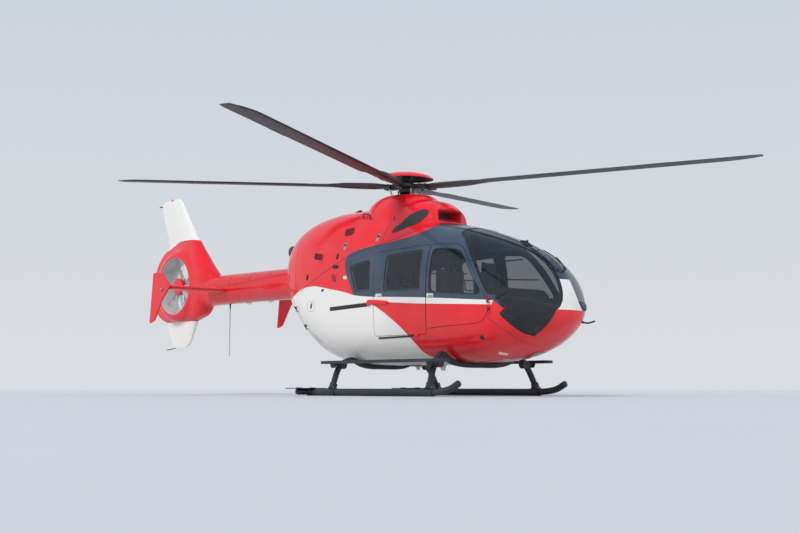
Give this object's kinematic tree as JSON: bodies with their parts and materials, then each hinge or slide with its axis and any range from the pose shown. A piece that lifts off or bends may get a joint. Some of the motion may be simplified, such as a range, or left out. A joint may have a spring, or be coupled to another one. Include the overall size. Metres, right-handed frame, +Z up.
{
  "type": "light twin-engined rescue helicopter",
  "caption": "Light rescue helicopter with a main rotor, shrouded tail fan, skids, hinged cockpit doors, rear clamshell doors and engine cowls.",
  "frame": {"origin": "on the ground under the middle of the overall length with the blades as they stand, on the centreline", "axes": "+X to the nose, +Y to the port side, +Z up"},
  "size_m": [11.728, 9.323, 3.57],
  "materials": {
    "red_paint": "glossy traffic-red paint",
    "white_paint": "glossy off-white paint",
    "dark_paint": "glossy blue-black paint",
    "gear_paint": "satin blue-black paint",
    "blade_coating": "matt dark grey coating",
    "hub_metal": "machined and painted metal",
    "engine_metal": "heat-tinted steel",
    "fan_paint": "satin grey paint",
    "tinted_glass": "lightly tinted, glossy",
    "seat_fabric": "dark woven cloth",
    "panel_plastic": "matt black"
  },
  "bodies": {
    "airframe": {"nose_frame": "red_paint", "underfloor": "white_paint", "cabin_roof": "dark_paint", "side_wall_right": "red_paint", "side_wall_left": "red_paint", "sliding_door_right": "red_paint", "sliding_door_left": "red_paint", "sliding_door_glass_right": "tinted_glass", "sliding_door_glass_left": "tinted_glass", "rear_side_glass_right": "tinted_glass", "rear_side_glass_left": "tinted_glass", "windscreen_right": "tinted_glass", "windscreen_left": "tinted_glass", "chin_window_right": "tinted_glass", "chin_window_left": "tinted_glass", "centre_cowl": "red_paint", "engines_and_gearbox": "engine_metal", "fin_and_fan_housing": "red_paint", "ventral_fin": "white_paint", "tail_boom": "red_paint", "tailplane": "red_paint", "end_plate_right": "red_paint", "end_plate_left": "red_paint", "fan_stator": "fan_paint", "skid_right": "gear_paint", "skid_left": "gear_paint", "cross_tube_front": "gear_paint", "cross_tube_rear": "gear_paint", "step_right": "gear_paint", "step_left": "gear_paint", "cockpit_seat_right": "seat_fabric", "cockpit_seat_left": "seat_fabric", "instrument_panel": "panel_plastic", "cabin_seats": "seat_fabric"},
    "main_rotor": {"rotor_blade_1": "blade_coating", "rotor_blade_2": "blade_coating", "rotor_blade_3": "blade_coating", "rotor_blade_4": "blade_coating", "rotor_hub": "hub_metal", "hub_cap": "red_paint"},
    "fan_rotor": {"tail_rotor": "fan_paint"},
    "cockpit_door_right": {"cockpit_door_right": "red_paint", "cockpit_door_glass_right": "tinted_glass"},
    "clamshell_right": {"clamshell_door_right": "white_paint"},
    "cowl_right": {"engine_cowl_right": "red_paint"},
    "cockpit_door_left": {"cockpit_door_left": "red_paint", "cockpit_door_glass_left": "tinted_glass"},
    "clamshell_left": {"clamshell_door_left": "white_paint"},
    "cowl_left": {"engine_cowl_left": "red_paint"}
  },
  "joints": [
    {"name": "main_rotor_spin", "type": "hinge", "parent": "airframe", "child": "main_rotor", "pos_m": [1.19603, 0, 3.05], "axis": [0.0349, 0, 0.9994], "continuous": true},
    {"name": "tail_rotor_spin", "type": "hinge", "parent": "airframe", "child": "fan_rotor", "pos_m": [-4.89397, 0, 1.945], "axis": [0, 1, 0], "continuous": true},
    {"name": "cockpit_door_right_hinge", "type": "hinge", "parent": "airframe", "child": "cockpit_door_right", "pos_m": [3.57403, -0.744, 1], "axis": [0, 0, 1], "range_deg": [0, 75]},
    {"name": "cockpit_door_left_hinge", "type": "hinge", "parent": "airframe", "child": "cockpit_door_left", "pos_m": [3.57403, 0.744, 1], "axis": [0, 0, -1], "range_deg": [0, 75]},
    {"name": "clamshell_right_hinge", "type": "hinge", "parent": "airframe", "child": "clamshell_right", "pos_m": [-0.32197, -0.622, 0.95], "axis": [-0.6165, -0.0489, 0.7859], "range_deg": [0, 100]},
    {"name": "clamshell_left_hinge", "type": "hinge", "parent": "airframe", "child": "clamshell_left", "pos_m": [-0.32197, 0.622, 0.95], "axis": [0.6165, -0.0489, -0.7859], "range_deg": [0, 100]},
    {"name": "cowl_right_hinge", "type": "hinge", "parent": "airframe", "child": "cowl_right", "pos_m": [0.40603, -0.153, 2.784], "axis": [-0.9942, 0, -0.1072], "range_deg": [0, 50]},
    {"name": "cowl_left_hinge", "type": "hinge", "parent": "airframe", "child": "cowl_left", "pos_m": [0.40603, 0.153, 2.784], "axis": [0.9942, 0, 0.1072], "range_deg": [0, 50]}
  ]
}
